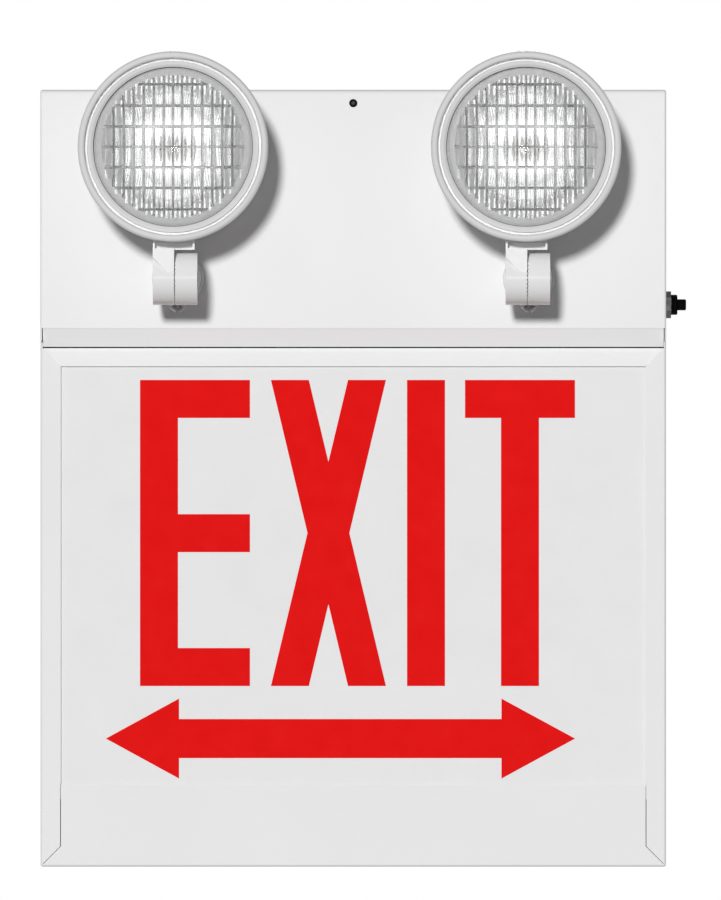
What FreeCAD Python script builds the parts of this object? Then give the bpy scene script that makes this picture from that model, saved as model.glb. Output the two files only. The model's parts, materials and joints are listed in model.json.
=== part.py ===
import FreeCAD, Part
import math
import os
import re
import Sketcher

# Emergency exit light: a surface mounted steel unit with a lit sign below, a battery
# compartment above it, and two lamp heads on swivels on the compartment's cover.
# Axes: X to the viewer's right, Y into the wall, Z up. The origin is the centre of the
# rear cable entry, on the wall. Inside a sub-part, heights are counted from the bottom edge
# of the unit, and its Placement brings them down by entry_height.

SIZES = {
    # steel housing
    "unit_width": 415.2,
    "unit_height": 515.6,
    "sheet": 1.0,
    "bend_radius": 1.6,
    "wall_gap": 0.5,
    "fit_gap": 0.2,
    "plate_lip": 10.0,
    # sign frame
    "sign_depth": 92.0,
    "side_flange": 13.5,
    "bottom_flange": 53.9,
    "seam": 0.5,
    "side_split": 349.0,
    "shelf_height": 344.3,
    "top_flange": 12.2,
    "top_lean": 4.0,
    "shelf_foot": 12.0,
    "panel_thick": 3.0,
    "panel_gap": 1.0,
    "panel_lap": 1.8,
    "panel_side_lap": 9.0,
    # battery cover
    "cover_depth": 100.0,
    "cover_gap": 0.8,
    "top_bend": 3.6,
    "lip_height": 12.4,
    "lip_drop": 8.0,
    "lip_inset": 1.6,
    "return_flange": 18.0,
    # rear holes
    "entry_height": 430.0,
    "entry_hole": 22.2,
    "entry_bore": 19.0,
    "box_spacing": 83.3,
    "box_hole": 4.8,
    "wall_inset_x": 17.6,
    "wall_inset_z": 42.8,
    "wall_hole": 6.5,
    # lamp heads and their swivels
    "head_spacing": 232.8,
    "pivot_height": 390.2,
    "pivot_reach": 45.0,
    "head_rise": 86.3,
    "head_shift": 2.4,
    "ring_radius": 62.6,
    "ring_front": 21.0,
    "lens_opening": 52.7,
    "lamp_radius": 57.0,
    "lens_sag": 6.5,
    "lens_thick": 3.0,
    "flute_pitch": 6.6,
    "flute_row": 13.5,
    "flute_depth": 0.8,
    "flute_width": 1.0,
    "shell_radius": 62.3,
    "shell_back": 35.0,
    "shell_wall": 2.2,
    "shell_curve": 38.1,
    "knuckle_radius": 17.8,
    "knuckle_left": 15.8,
    "knuckle_right": 13.5,
    "tooth_seam": 1.4,
    "tooth_gap": 0.15,
    "tooth_depth": 0.6,
    "tooth_width": 2.4,
    "tooth_inner": 12.5,
    "neck_right": 11.7,
    "neck_wall": 1.3,
    "hub_radius": 15.5,
    "spigot_radius": 9.0,
    "base_radius": 17.2,
    "base_thick": 4.0,
    "stem_radius": 6.35,
    "stem_bore": 3.5,
    "pivot_screw": 3.0,
    "lock_screw": 2.5,
    "run_gap": 0.08,
    # test switch and pilot light
    "switch_height": 373.3,
    "switch_reach": 60.0,
    "switch_bush": 6.0,
    "switch_nut": 4.0,
    "switch_collar": 4.2,
    "button_radius": 3.7,
    "button_proud": 5.8,
    "button_travel": 3.0,
    "pilot_height": 506.7,
    "pilot_hole": 4.4,
    # electrical parts
    "battery_length": 151.0,
    "battery_width": 50.0,
    "battery_height": 94.0,
    "battery_side_gap": 3.6,
    "board_length": 120.0,
    "board_height": 66.0,
    "board_standoff": 8.0,
    "board_thick": 1.6,
    "led_count": 9,
    "led_spacing": 40.0,
}

document = FreeCAD.newDocument("emergency_exit_light")
sheet = document.addObject("Spreadsheet::Sheet", "sizes")
for row, (alias, size) in enumerate(SIZES.items(), start=1):
    sheet.set("A%d" % row, alias.replace("_", " "))
    sheet.set("B%d" % row, str(size))
    sheet.setAlias("B%d" % row, alias)
document.recompute()

ALIASES = re.compile(r"\b(" + "|".join(sorted(SIZES, key=len, reverse=True)) + r")\b")
parts = {}


# ---------------------------------------------------------------- formulas and placing

def formula(text):
    return ALIASES.sub(r"sizes.\1", str(text))


def measure(text):
    return float(sheet.evalExpression(formula(text)))


def tie(thing, target, text):
    thing.setExpression(target, formula(text))


def place(thing, x="0", y="0", z="0"):
    tie(thing, "Placement.Base.x", x)
    tie(thing, "Placement.Base.y", y)
    tie(thing, "Placement.Base.z", z)


def node(thing, name, x="0", y="0", z="0"):
    # a finished sub-part: its label names its file, its placement sets it in the unit's frame
    thing.Label = name
    place(thing, x, y, "(%s) - entry_height" % z)
    parts[name] = thing
    return thing


# ---------------------------------------------------------------- solids from primitives

TURNS = {
    "x": FreeCAD.Rotation(FreeCAD.Vector(0, 1, 0), 90),
    "y": FreeCAD.Rotation(FreeCAD.Vector(1, 0, 0), -90),
    "z": FreeCAD.Rotation(),
}


def block(name, size, corner):
    solid = document.addObject("Part::Box", name)
    tie(solid, "Length", size[0])
    tie(solid, "Width", size[1])
    tie(solid, "Height", size[2])
    place(solid, *corner)
    return solid


def rod(name, axis, radius, length, start):
    solid = document.addObject("Part::Cylinder", name)
    solid.Placement = FreeCAD.Placement(FreeCAD.Vector(), TURNS[axis])
    tie(solid, "Radius", radius)
    tie(solid, "Height", length)
    place(solid, *start)
    return solid


def hexagon(name, axis, flats, length, start, turn=0):
    solid = document.addObject("Part::Prism", name)
    solid.Polygon = 6
    spin = FreeCAD.Rotation(FreeCAD.Vector(0, 0, 1), turn)
    solid.Placement = FreeCAD.Placement(FreeCAD.Vector(), TURNS[axis].multiply(spin))
    tie(solid, "Circumradius", "(%s) / sqrt(3)" % flats)
    tie(solid, "Height", length)
    place(solid, *start)
    return solid


def fuse(name, solids):
    joined = document.addObject("Part::MultiFuse", name)
    joined.Shapes = solids
    return joined


def cut(name, base, tool):
    rest = document.addObject("Part::Cut", name)
    rest.Base = base
    rest.Tool = tool
    return rest


def group(name, solids):
    several = document.addObject("Part::Compound", name)
    several.Links = solids
    return several


# ---------------------------------------------------------------- bodies from sketches

def body(name):
    return document.addObject("PartDesign::Body", name)


def plane_of(piece, role):
    return [item for item in piece.Origin.OriginFeatures if item.Role == role][0]


def bulge(start, end, radius):
    # centre of the arc from start to end: on the left of the way for a positive radius
    across = FreeCAD.Vector(end[0] - start[0], end[1] - start[1], 0)
    middle = FreeCAD.Vector((end[0] + start[0]) / 2, (end[1] + start[1]) / 2, 0)
    rise = math.sqrt(max(radius * radius - across.Length ** 2 / 4, 0))
    left = FreeCAD.Vector(-across.y, across.x, 0)
    left.normalize()
    return middle + left * (rise if radius > 0 else -rise)


def add_loop(outline, corners):
    # a closed loop of corners (x, y) or (x, y, radius of the arc to the next corner)
    spots = [(measure(corner[0]), measure(corner[1])) for corner in corners]
    first = outline.GeometryCount
    starts = []
    ends = []
    for i, corner in enumerate(corners):
        a = spots[i]
        b = spots[(i + 1) % len(corners)]
        if len(corner) == 2:
            line = Part.LineSegment(FreeCAD.Vector(a[0], a[1], 0), FreeCAD.Vector(b[0], b[1], 0))
            index = outline.addGeometry(line, False)
            starts.append((index, 1))
            ends.append((index, 2))
            continue
        radius = measure(corner[2])
        centre = bulge(a, b, radius)
        from_angle = math.atan2(a[1] - centre.y, a[0] - centre.x)
        to_angle = math.atan2(b[1] - centre.y, b[0] - centre.x)
        if radius < 0:
            from_angle, to_angle = to_angle, from_angle
        if to_angle < from_angle:
            to_angle += 2 * math.pi
        circle = Part.Circle(centre, FreeCAD.Vector(0, 0, 1), abs(radius))
        index = outline.addGeometry(Part.ArcOfCircle(circle, from_angle, to_angle), False)
        starts.append((index, 1 if radius > 0 else 2))
        ends.append((index, 2 if radius > 0 else 1))
    for i in range(len(corners)):
        outline.addConstraint(Sketcher.Constraint("Coincident", *ends[i], *starts[(i + 1) % len(corners)]))
    for i, corner in enumerate(corners):
        for kind, value, text in (("DistanceX", spots[i][0], corner[0]), ("DistanceY", spots[i][1], corner[1])):
            index = outline.addConstraint(Sketcher.Constraint(kind, -1, 1, *starts[i], value))
            tie(outline, "Constraints[%d]" % index, text)
        if len(corner) == 3:
            index = outline.addConstraint(Sketcher.Constraint("Radius", first + i, abs(measure(corner[2]))))
            tie(outline, "Constraints[%d]" % index, "abs(%s)" % corner[2])


def add_circle(outline, x, y, radius):
    circle = Part.Circle(FreeCAD.Vector(measure(x), measure(y), 0), FreeCAD.Vector(0, 0, 1), measure(radius))
    index = outline.addGeometry(circle, False)
    for kind, text in (("DistanceX", x), ("DistanceY", y)):
        rule = outline.addConstraint(Sketcher.Constraint(kind, -1, 1, index, 3, measure(text)))
        tie(outline, "Constraints[%d]" % rule, text)
    rule = outline.addConstraint(Sketcher.Constraint("Radius", index, measure(radius)))
    tie(outline, "Constraints[%d]" % rule, radius)


def sketch(piece, name, role, loops=(), circles=(), offset="0", right="0", up="0"):
    outline = piece.newObject("Sketcher::SketchObject", name)
    outline.AttachmentSupport = [(plane_of(piece, role), "")]
    outline.MapMode = "FlatFace"
    tie(outline, "AttachmentOffset.Base.x", right)
    tie(outline, "AttachmentOffset.Base.y", up)
    tie(outline, "AttachmentOffset.Base.z", offset)
    for corners in loops:
        add_loop(outline, corners)
    for x, y, radius in circles:
        add_circle(outline, x, y, radius)
    return outline


def pad(piece, outline, length, both=False, back=False):
    feature = piece.newObject("PartDesign::Pad", outline.Name + "_pad")
    feature.Profile = outline
    feature.SideType = "Symmetric" if both else "One side"
    feature.Reversed = back
    tie(feature, "Length", length)
    return feature


def pocket(piece, outline, length, both=False, back=False):
    feature = piece.newObject("PartDesign::Pocket", outline.Name + "_pocket")
    feature.Profile = outline
    feature.SideType = "Symmetric" if both else "One side"
    feature.Reversed = back
    tie(feature, "Length", length)
    return feature


def revolve(piece, outline, kind="PartDesign::Revolution"):
    feature = piece.newObject(kind, outline.Name + "_turned")
    feature.Profile = outline
    feature.ReferenceAxis = (outline, ["V_Axis"])
    feature.Angle = 360
    return feature


def soften(piece, name, radius, wanted):
    # fillets the edges of the body so far whose middle point passes the test
    document.recompute()
    tip = piece.Tip
    picked = []
    for number, edge in enumerate(tip.Shape.Edges, start=1):
        if wanted(edge, edge.valueAt((edge.FirstParameter + edge.LastParameter) / 2)):
            picked.append("Edge%d" % number)
    feature = piece.newObject("PartDesign::Fillet", name)
    feature.Base = (tip, picked)
    tie(feature, "Radius", radius)
    return feature


def around(piece, feature, role, count, angle=360):
    pattern = piece.newObject("PartDesign::PolarPattern", feature.Name + "_ring")
    pattern.Originals = [feature]
    pattern.Axis = (plane_of(piece, role), [""])
    pattern.Angle = angle
    pattern.Occurrences = count
    piece.Tip = pattern
    return pattern


def near(a, b):
    return abs(a - b) < 0.01


# ---------------------------------------------------------------- back plate

INNER_X = "(unit_width / 2 - sheet - fit_gap)"
back_plate = body("back_plate_body")
outline = sketch(back_plate, "plate_outline", "XZ_Plane", [[
    ("-" + INNER_X, "sheet + fit_gap"),
    (INNER_X, "sheet + fit_gap"),
    (INNER_X, "unit_height - sheet - fit_gap"),
    ("-" + INNER_X, "unit_height - sheet - fit_gap"),
]])
pad(back_plate, outline, "plate_lip")
outline = sketch(back_plate, "plate_hollow", "XZ_Plane", [[
    ("sheet - " + INNER_X, "2 * sheet + fit_gap"),
    (INNER_X + " - sheet", "2 * sheet + fit_gap"),
    (INNER_X + " - sheet", "unit_height - 2 * sheet - fit_gap"),
    ("sheet - " + INNER_X, "unit_height - 2 * sheet - fit_gap"),
]], offset="plate_lip")
pocket(back_plate, outline, "plate_lip - sheet")
soften(back_plate, "plate_bends", "bend_radius", lambda edge, at: near(at.y, 0))
plate_holes = [("0", "entry_height", "entry_hole / 2")]
for side in ("-", ""):
    plate_holes.append((side + "box_spacing / 2", "entry_height", "box_hole / 2"))
    for height in ("wall_inset_z", "unit_height - wall_inset_z"):
        plate_holes.append((side + "(unit_width / 2 - wall_inset_x)", height, "wall_hole / 2"))
outline = sketch(back_plate, "plate_holes", "XZ_Plane", circles=plate_holes)
pocket(back_plate, outline, "4 * sheet", both=True)
node(back_plate, "back_plate")

# black snap bushing in the cable entry
bushing = body("bushing_body")
outline = sketch(bushing, "bushing_section", "XY_Plane", [[
    ("entry_bore / 2", "0"),
    ("entry_hole / 2 - fit_gap / 4", "0"),
    ("entry_hole / 2 - fit_gap / 4", "-sheet"),
    ("entry_hole / 2 + 2.2", "-sheet"),
    ("entry_hole / 2 + 2.2", "-sheet - 1.2", "1.6"),
    ("entry_hole / 2 + 1", "-sheet - 2.4"),
    ("entry_bore / 2", "-sheet - 2.4"),
]])
revolve(bushing, outline)
node(bushing, "entry_bushing", z="entry_height")

# ---------------------------------------------------------------- sign frame

OUT_X = "(unit_width / 2)"
WINDOW_X = "(unit_width / 2 - side_flange)"
WINDOW_TOP = "(shelf_height - top_flange)"
TONGUE_X = "(unit_width / 2 - lip_inset + fit_gap)"
sign_frame = body("sign_frame_body")
outline = sketch(sign_frame, "frame_walls", "XZ_Plane", [[
    ("-" + OUT_X, "0"),
    (OUT_X, "0"),
    (OUT_X, "side_split"),
    (OUT_X + " - sheet", "side_split"),
    (OUT_X + " - sheet", "sheet"),
    ("sheet - " + OUT_X, "sheet"),
    ("sheet - " + OUT_X, "side_split"),
    ("-" + OUT_X, "side_split"),
]], offset="wall_gap")
pad(sign_frame, outline, "sign_depth - wall_gap")
outline = sketch(sign_frame, "frame_flanges", "XZ_Plane", [[
    ("-" + OUT_X, "0"),
    (OUT_X, "0"),
    (OUT_X, "side_split"),
    (TONGUE_X, "side_split"),
    (TONGUE_X, "shelf_height"),
    (WINDOW_X, WINDOW_TOP),
    (WINDOW_X, "bottom_flange"),
    ("-" + WINDOW_X, "bottom_flange"),
    ("-" + WINDOW_X, WINDOW_TOP),
    ("-" + TONGUE_X, "shelf_height"),
    ("-" + TONGUE_X, "side_split"),
    ("-" + OUT_X, "side_split"),
]], offset="sign_depth - sheet")
pad(sign_frame, outline, "sheet")
soften(sign_frame, "frame_bends", "bend_radius", lambda edge, at: (
    near(at.y, -SIZES["sign_depth"]) and (near(abs(at.x), SIZES["unit_width"] / 2) or near(at.z, 0))
    or near(abs(at.x), SIZES["unit_width"] / 2) and near(at.z, 0)))
seams = []
for way in ("-", ""):
    sign = -1 if way else 1
    loop = [
        (way + WINDOW_X, "bottom_flange + 1"),
        (way + WINDOW_X, "side_flange"),
        (way + "(%s - bend_radius)" % OUT_X, "bend_radius"),
        (way + "(%s - bend_radius)" % OUT_X, "bend_radius + seam"),
        (way + "(%s + seam)" % WINDOW_X, "side_flange"),
        (way + "(%s + seam)" % WINDOW_X, "bottom_flange + 1"),
    ]
    seams.append(loop if sign > 0 else loop[::-1])
outline = sketch(sign_frame, "frame_seams", "XZ_Plane", seams, offset="sign_depth")
pocket(sign_frame, outline, "2 * sheet", both=True)
node(sign_frame, "sign_frame")

# ---------------------------------------------------------------- divider shelf

shelf = body("divider_shelf_body")
outline = sketch(shelf, "shelf_section", "YZ_Plane", [[
    ("-sheet", "shelf_height"),
    ("top_lean - sign_depth", "shelf_height"),
    ("-sign_depth", WINDOW_TOP),
    ("sheet - sign_depth", WINDOW_TOP),
    ("sheet + top_lean - sign_depth", "shelf_height - sheet"),
    ("-2 * sheet", "shelf_height - sheet"),
    ("-2 * sheet", "shelf_height - shelf_foot"),
    ("-sheet", "shelf_height - shelf_foot"),
]])
pad(shelf, outline, "unit_width - 2 * sheet - 2 * fit_gap", both=True)
corners = []
for way in ("-", ""):
    loop = [
        (way + "(%s - fit_gap)" % WINDOW_X, WINDOW_TOP + " - 1"),
        (way + "(%s + 1)" % OUT_X, WINDOW_TOP + " - 1"),
        (way + "(%s + 1)" % OUT_X, "shelf_height - sheet"),
        (way + "(%s - sheet - fit_gap)" % OUT_X, "shelf_height - sheet"),
        (way + "(%s - fit_gap)" % WINDOW_X, WINDOW_TOP),
    ]
    corners.append(loop if not way else loop[::-1])
outline = sketch(shelf, "shelf_corners", "XZ_Plane", corners, offset="sign_depth")
pocket(shelf, outline, "2 * (top_lean + 2 * sheet)", both=True)
for way in ("-", ""):
    pocket(shelf, sketch(shelf, "shelf_notch" + ("_left" if way else "_right"), "YZ_Plane", [[
        ("-plate_lip - fit_gap", "shelf_height + 1"),
        ("-plate_lip - fit_gap", "shelf_height - shelf_foot - 1"),
        ("1", "shelf_height - shelf_foot - 1"),
        ("1", "shelf_height + 1"),
    ]], offset=way + "(unit_width / 2 - sheet)"), "2 * (2 * fit_gap + sheet)", both=True)
SCREW_Y = "(-(cover_depth - lip_drop - return_flange / 2))"
outline = sketch(shelf, "shelf_holes", "XY_Plane", circles=[
    ("-unit_width / 3", SCREW_Y, "2.2"), ("unit_width / 3", SCREW_Y, "2.2"),
    ("unit_width / 4", "-sign_depth / 2", "5")], offset="shelf_height")
pocket(shelf, outline, "4 * sheet", both=True)
node(shelf, "divider_shelf")

# ---------------------------------------------------------------- battery cover

LIP_FOOT = "(shelf_height + cover_gap)"
LIP_TOP = "(shelf_height + cover_gap + lip_height)"
cover = body("battery_cover_body")
outline = sketch(cover, "cover_section", "YZ_Plane", [[
    ("-wall_gap", "unit_height"),
    ("top_bend - cover_depth", "unit_height", "top_bend"),
    ("-cover_depth", "unit_height - top_bend"),
    ("-cover_depth", LIP_TOP),
    ("lip_drop - cover_depth", LIP_FOOT),
    ("lip_drop + return_flange - cover_depth", LIP_FOOT),
    ("lip_drop + return_flange - cover_depth", LIP_FOOT + " + sheet"),
    ("lip_drop + sheet - cover_depth", LIP_FOOT + " + sheet"),
    ("sheet - cover_depth", LIP_TOP),
    ("sheet - cover_depth", "unit_height - top_bend", "-(top_bend - sheet)"),
    ("top_bend - cover_depth", "unit_height - sheet"),
    ("-wall_gap", "unit_height - sheet"),
]])
pad(cover, outline, "unit_width - 2 * sheet", both=True)
side_outline = [
    ("-wall_gap", "side_split + cover_gap / 2"),
    ("-wall_gap", "unit_height"),
    ("top_bend - cover_depth", "unit_height", "top_bend"),
    ("-cover_depth", "unit_height - top_bend"),
    ("-cover_depth", "side_split + cover_gap / 2"),
]
outline = sketch(cover, "cover_right_side", "YZ_Plane", [side_outline], offset="unit_width / 2 - sheet")
pad(cover, outline, "sheet")
outline = sketch(cover, "cover_left_side", "YZ_Plane", [side_outline], offset="-unit_width / 2")
pad(cover, outline, "sheet")
soften(cover, "cover_bends", "bend_radius", lambda edge, at: (
    near(abs(at.x), SIZES["unit_width"] / 2) and at.y < -SIZES["wall_gap"] - 1
    and at.z > SIZES["side_split"] + 3 and not near(at.z, SIZES["side_split"])))
reliefs = []
for way in ("-", ""):
    loop = [
        (way + "(%s - lip_inset)" % OUT_X, LIP_FOOT + " - 1"),
        (way + "(%s - sheet)" % OUT_X, LIP_FOOT + " - 1"),
        (way + "(%s - sheet)" % OUT_X, LIP_TOP),
        (way + "(%s - lip_inset)" % OUT_X, LIP_TOP),
    ]
    reliefs.append(loop if not way else loop[::-1])
outline = sketch(cover, "cover_reliefs", "XZ_Plane", reliefs, offset="cover_depth + 1")
pocket(cover, outline, "lip_drop + return_flange + 4")
outline = sketch(cover, "cover_front_holes", "XZ_Plane", circles=[
    ("-head_spacing / 2", "pivot_height", "stem_radius + fit_gap"),
    ("head_spacing / 2", "pivot_height", "stem_radius + fit_gap"),
    ("0", "pilot_height", "pilot_hole / 2")], offset="cover_depth")
pocket(cover, outline, "4 * sheet", both=True)
outline = sketch(cover, "cover_switch_hole", "YZ_Plane", circles=[
    ("-switch_reach", "switch_height", "switch_bush + fit_gap / 2")], offset="unit_width / 2")
pocket(cover, outline, "4 * sheet", both=True)
outline = sketch(cover, "cover_foot_holes", "XY_Plane", circles=[
    ("-unit_width / 3", SCREW_Y, "2.2"), ("unit_width / 3", SCREW_Y, "2.2")], offset=LIP_FOOT)
pocket(cover, outline, "4 * sheet", both=True)
node(cover, "battery_cover")

# screws that hold the cover's foot to the shelf, reached with the sign panel out, and their nuts
screws = []
nuts = []
for side, way in (("left", "-"), ("right", "")):
    spot = (way + "unit_width / 3", SCREW_Y)
    shank = rod("cover_screw_shank_" + side, "z", "2", "sheet * 2 + cover_gap + 6",
                (spot[0], spot[1], "shelf_height - sheet"))
    head = rod("cover_screw_head_" + side, "z", "3.6", "2.4",
               (spot[0], spot[1], "shelf_height - sheet - 2.4"))
    screws.append(fuse("cover_screw_" + side, [shank, head]))
    nut = hexagon("cover_nut_hex_" + side, "z", "7", "3.2", (spot[0], spot[1], LIP_FOOT + " + sheet"))
    hole = rod("cover_nut_hole_" + side, "z", "2 + run_gap / 2", "10", (spot[0], spot[1], LIP_FOOT))
    nuts.append(cut("cover_nut_" + side, nut, hole))
node(group("cover_screws_group", screws), "cover_screws")
node(group("cover_nuts_group", nuts), "cover_nuts")

# ---------------------------------------------------------------- sign panel and its clips

PANEL_FRONT = "(panel_gap + sheet - sign_depth)"
panel = block("sign_panel_box",
              ("2 * (%s + panel_side_lap)" % WINDOW_X, "panel_thick",
               "%s + panel_lap - bottom_flange + panel_side_lap" % WINDOW_TOP),
              ("-(%s + panel_side_lap)" % WINDOW_X, PANEL_FRONT, "bottom_flange - panel_side_lap"))
node(panel, "sign_panel", x="-(%s + panel_side_lap)" % WINDOW_X, y=PANEL_FRONT,
     z="bottom_flange - panel_side_lap")
clips = []
CLIP_BACK = "(%s + panel_thick + fit_gap)" % PANEL_FRONT
for side, way in (("left", "-"), ("right", "")):
    for place_up, height in (("low", "90"), ("mid", "190"), ("high", "290")):
        edge = "-(%s - sheet)" % OUT_X if way else "(%s - sheet - 1)" % OUT_X
        start = "-(%s - sheet)" % OUT_X if way else "(%s - sheet - 12)" % OUT_X
        foot = block("clip_foot_%s_%s" % (side, place_up), ("1", "16", "14"), (edge, CLIP_BACK, height))
        tongue = block("clip_tongue_%s_%s" % (side, place_up), ("12", "0.8", "14"), (start, CLIP_BACK, height))
        clips.append(fuse("clip_%s_%s" % (side, place_up), [foot, tongue]))
node(group("panel_clips_group", clips), "panel_clips")

# ---------------------------------------------------------------- sign lamps behind the bottom band

channel = body("led_channel_body")
outline = sketch(channel, "channel_section", "YZ_Plane", [[
    ("-sign_depth + 14", "sheet"),
    ("-sign_depth + 54", "sheet"),
    ("-sign_depth + 54", "sheet + 24"),
    ("-sign_depth + 52.5", "sheet + 24"),
    ("-sign_depth + 52.5", "sheet + 1.5"),
    ("-sign_depth + 15.5", "sheet + 1.5"),
    ("-sign_depth + 15.5", "sheet + 24"),
    ("-sign_depth + 14", "sheet + 24"),
]])
pad(channel, outline, "unit_width - 50", both=True)
node(channel, "led_channel")
led_board = block("led_board_box", ("unit_width - 56", "40", "board_thick"),
                  ("-(unit_width - 56) / 2", "14 - sign_depth", "sheet + 24"))
node(led_board, "led_board", x="-(unit_width - 56) / 2", y="14 - sign_depth", z="sheet + 24")
leds = []
for number in range(SIZES["led_count"]):
    x = "(%d - (led_count - 1) / 2) * led_spacing" % number
    base = block("led_base_%d" % number, ("5", "5", "0.8"),
                 (x + " - 2.5", "34 - sign_depth - 2.5", "sheet + 24 + board_thick"))
    dome = rod("led_dome_%d" % number, "z", "1.7", "1.6", (x, "34 - sign_depth", "sheet + 24 + board_thick"))
    leds.append(fuse("led_%d" % number, [base, dome]))
node(group("leds_group", leds), "sign_leds")

# ---------------------------------------------------------------- lamp heads and swivels
# Both units are the same; each is drawn about its pivot, Y towards the wall, and placed.

SEAM_HEAD = "(-tooth_seam - tooth_gap / 2)"
SEAM_BASE = "(-tooth_seam + tooth_gap / 2)"
RIM_BACK = "(8 - ring_front)"
LAMP_FRONT = "(6.2 - ring_front)"


def lamp_sketch(piece, name, corners):
    # a half section about the lamp's axis: first number from the axis, second towards the wall
    outline = piece.newObject("Sketcher::SketchObject", name)
    outline.AttachmentSupport = [(plane_of(piece, "XY_Plane"), "")]
    outline.MapMode = "FlatFace"
    tie(outline, "AttachmentOffset.Base.x", "-head_shift")
    tie(outline, "AttachmentOffset.Base.z", "head_rise")
    add_loop(outline, corners)
    return outline


def teeth(piece, name, face, inwards):
    # one V groove of the radial serration, then the ring of them; turned half a pitch on the
    # head's side, so that crests stand opposite hollows
    outline = sketch(piece, name, "XZ_Plane", [[
        (face, "-tooth_width / 2"),
        ("%s %s tooth_depth" % (face, inwards), "0"),
        (face, "tooth_width / 2"),
    ][::-1 if inwards == "-" else 1]], offset="knuckle_radius + 1")
    groove = pocket(piece, outline, "knuckle_radius + 1 - tooth_inner")
    return around(piece, groove, "X_Axis", 40)


def lamp_unit(side, way):
    at = {"x": way + "head_spacing / 2", "y": "-(cover_depth + pivot_reach)", "z": "pivot_height"}

    # fixed stem: round base on the cover, spigot in front, threaded hollow tail through the cover
    stem = body(side + "_stem_body")
    outline = sketch(stem, side + "_stem_section", "XY_Plane", [[
        ("stem_bore", "knuckle_radius + 3"),
        ("spigot_radius", "knuckle_radius + 3"),
        ("spigot_radius", "pivot_reach - base_thick"),
        ("base_radius - 2", "pivot_reach - base_thick", "2.6"),
        ("base_radius", "pivot_reach - base_thick + 2"),
        ("base_radius", "pivot_reach"),
        ("stem_radius", "pivot_reach"),
        ("stem_radius", "pivot_reach + sheet + 11"),
        ("stem_bore", "pivot_reach + sheet + 11"),
    ]])
    revolve(stem, outline)
    node(stem, side + "_stem", **at)

    washer = body(side + "_washer_body")
    outline = sketch(washer, side + "_washer_face", "XZ_Plane", circles=[
        ("0", "0", "stem_radius + 6"), ("0", "0", "stem_radius + fit_gap")], offset="-(pivot_reach + sheet)")
    pad(washer, outline, "1", back=True)
    node(washer, side + "_stem_washer", **at)

    nut = body(side + "_stem_nut_body")
    hex_corners = []
    for number in range(6):
        turn = number * 60
        hex_corners.append(("9.5 / cos(30) * cos(%d)" % turn, "9.5 / cos(30) * sin(%d)" % turn))
    outline = sketch(nut, side + "_stem_nut_face", "XZ_Plane", [hex_corners],
                     circles=[("0", "0", "stem_radius + run_gap / 2")], offset="-(pivot_reach + sheet + 1)")
    pad(nut, outline, "4", back=True)
    node(nut, side + "_stem_nut", **at)

    # knuckle: the half of the hinge that pans, with the hub that turns on the stem's spigot
    knuckle = body(side + "_knuckle_body")
    outline = sketch(knuckle, side + "_knuckle_disc", "YZ_Plane", circles=[("0", "0", "knuckle_radius")],
                     offset=SEAM_BASE)
    pad(knuckle, outline, "knuckle_right - %s" % SEAM_BASE)
    outline = sketch(knuckle, side + "_knuckle_web", "YZ_Plane", [[
        ("2", "-knuckle_radius + 0.6"),
        ("knuckle_radius + 5", "-hub_radius + 1.5"),
        ("knuckle_radius + 5", "hub_radius - 3"),
        ("2", "hub_radius - 2"),
    ]], offset="-tooth_seam + 0.4")
    pad(knuckle, outline, "knuckle_right + tooth_seam - 0.4")
    outline = sketch(knuckle, side + "_knuckle_hub", "XZ_Plane", circles=[("0", "0", "hub_radius")],
                     offset="-(knuckle_radius + 0.7)")
    pad(knuckle, outline, "pivot_reach - base_thick - 0.3 - knuckle_radius - 0.7", back=True)
    outline = sketch(knuckle, side + "_knuckle_boss", "XY_Plane", circles=[
        ("0", "pivot_reach - 15", "lock_screw + 3.5")], offset="-(hub_radius + 2.5)")
    pad(knuckle, outline, "6")
    outline = sketch(knuckle, side + "_knuckle_relief", "YZ_Plane", [[
        ("-(knuckle_radius - 1.3) * cos(39.4)", "(knuckle_radius - 1.3) * sin(39.4)", "-(knuckle_radius - 1.3)"),
        ("(knuckle_radius - 1.3) * cos(40)", "(knuckle_radius - 1.3) * sin(40)"),
        ("(knuckle_radius + 3) * cos(40)", "(knuckle_radius + 3) * sin(40)"),
        ("(knuckle_radius + 3) * cos(40)", "knuckle_radius + 3"),
        ("-(knuckle_radius + 3) * cos(39.4)", "knuckle_radius + 3"),
        ("-(knuckle_radius + 3) * cos(39.4)", "(knuckle_radius + 3) * sin(39.4)"),
    ]], offset="-tooth_seam - 1")
    pocket(knuckle, outline, "knuckle_right + tooth_seam + 3", back=True)
    outline = sketch(knuckle, side + "_knuckle_spigot_hole", "XZ_Plane",
                     circles=[("0", "0", "spigot_radius + run_gap")], offset="-pivot_reach")
    pocket(knuckle, outline, "pivot_reach - knuckle_radius - 2.5", back=True)
    outline = sketch(knuckle, side + "_knuckle_screw_hole", "YZ_Plane",
                     circles=[("0", "0", "pivot_screw + run_gap")], offset="-tooth_seam - 1")
    pocket(knuckle, outline, "knuckle_right + tooth_seam + 3", back=True)
    outline = sketch(knuckle, side + "_knuckle_head_pocket", "YZ_Plane",
                     circles=[("0", "0", "2 * pivot_screw + 0.6")], offset="knuckle_right")
    pocket(knuckle, outline, "4.5")
    outline = sketch(knuckle, side + "_knuckle_lock_hole", "XY_Plane", circles=[
        ("0", "pivot_reach - 15", "lock_screw + run_gap / 4")], offset="-(hub_radius + 4)")
    pocket(knuckle, outline, "hub_radius + 4 - spigot_radius", back=True)
    teeth(knuckle, side + "_knuckle_tooth", SEAM_BASE, "+")
    node(knuckle, side + "_knuckle", **at)

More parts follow.
